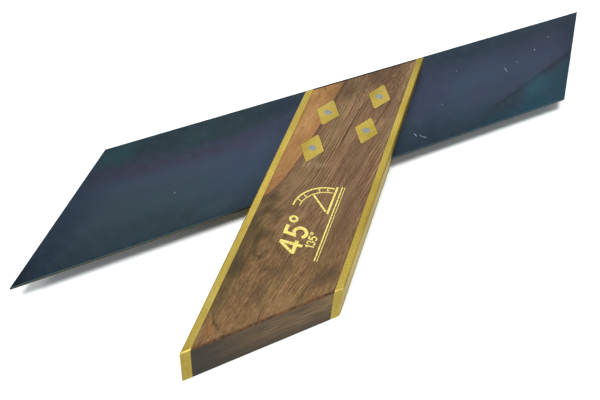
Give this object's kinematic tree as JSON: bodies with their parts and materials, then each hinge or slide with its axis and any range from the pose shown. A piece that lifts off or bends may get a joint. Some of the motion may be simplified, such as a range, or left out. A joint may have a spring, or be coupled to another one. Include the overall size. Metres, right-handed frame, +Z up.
{
  "type": "mitre square",
  "caption": "Fixed mitre square: hardwood stock with brass facings, blued steel blade riveted through it at 45 degrees under diamond brass plates, for marking mitres.",
  "frame": {"origin": "centre of the stock's underside, where the tool rests on the bench", "axes": "+Y along the stock from its plain end towards the blade, +X to the right of it, +Z up from the bench"},
  "size_m": [0.1796, 0.2641, 0.0176],
  "materials": {
    "walnut": "oiled dark hardwood with a lighter sapwood band",
    "facing_brass": "satin, linished along its length",
    "blued_steel": "heat blued spring steel, satin",
    "plate_brass": "satin, filed flush with the wood",
    "rivet_steel": "bright mild steel, filed flush",
    "pin_brass": "satin, filed flush with the facing"
  },
  "bodies": {
    "root": {"stock": "walnut", "left_facing": "facing_brass", "right_facing": "facing_brass", "blade": "blued_steel", "front_plate_1": "plate_brass", "front_plate_2": "plate_brass", "front_plate_3": "plate_brass", "front_plate_4": "plate_brass", "back_plate_1": "plate_brass", "back_plate_2": "plate_brass", "back_plate_3": "plate_brass", "back_plate_4": "plate_brass", "rivet_1": "rivet_steel", "rivet_2": "rivet_steel", "rivet_3": "rivet_steel", "rivet_4": "rivet_steel", "left_pin_1": "pin_brass", "left_pin_2": "pin_brass", "left_pin_3": "pin_brass", "left_pin_4": "pin_brass", "right_pin_1": "pin_brass", "right_pin_2": "pin_brass", "right_pin_3": "pin_brass", "right_pin_4": "pin_brass"}
  },
  "joints": []
}
